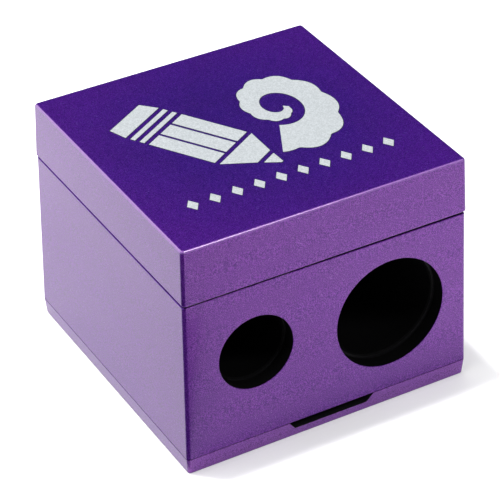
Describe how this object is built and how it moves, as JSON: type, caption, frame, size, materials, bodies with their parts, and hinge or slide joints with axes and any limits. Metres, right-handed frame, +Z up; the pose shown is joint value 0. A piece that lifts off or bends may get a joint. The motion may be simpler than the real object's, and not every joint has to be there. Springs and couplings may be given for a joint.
{
  "type": "double-barrel cosmetic pencil sharpener",
  "caption": "Cube-shaped sharpener for cosmetic pencils: a standard and a jumbo conical barrel in a closed box with a hinged lid, a shavings door below and a cleaning stick.",
  "frame": {"origin": "middle of the shell's square plan, on the underside of the closed bottom door, which is the plane the object stands on", "axes": "+Z up; -Y is the front, with the two pencil holes; +X to the right seen from the front, so the small hole is at -X; the hinges are at +Y"},
  "size_m": [0.0348, 0.0371, 0.0279],
  "materials": {
    "shell_lacquer": "fine-grained metallic purple lacquer, satin",
    "black_plastic": "moulded, fine texture",
    "blade_steel": "ground",
    "screw_steel": "plated",
    "stick_plastic": "satin"
  },
  "bodies": {
    "body": {"body_shell": "shell_lacquer", "sharpener_insert": "black_plastic", "small_blade": "blade_steel", "large_blade": "blade_steel", "small_blade_screw": "screw_steel", "large_blade_screw": "screw_steel", "insert_screw_left": "screw_steel", "insert_screw_right": "screw_steel", "insert_screw_top": "screw_steel", "lid_hinge_pin": "screw_steel", "door_hinge_pin": "screw_steel"},
    "lid": {"top_lid": "shell_lacquer", "lid_liner": "black_plastic"},
    "door": {"bottom_door": "shell_lacquer", "door_liner": "black_plastic"},
    "stick": {"cleaning_stick": "stick_plastic"}
  },
  "joints": [
    {"name": "lid_hinge", "type": "hinge", "parent": "body", "child": "lid", "pos_m": [0, 0.0179, 0.02107], "axis": [-1, 0, 0], "range_deg": [0, 110]},
    {"name": "door_hinge", "type": "hinge", "parent": "body", "child": "door", "pos_m": [0, 0.01827, 0.00194], "axis": [1, 0, 0], "range_deg": [0, 100]},
    {"name": "stick_slide", "type": "slide", "parent": "lid", "child": "stick", "axis": [0, 0, -1], "range_m": [0, 0.005]}
  ]
}
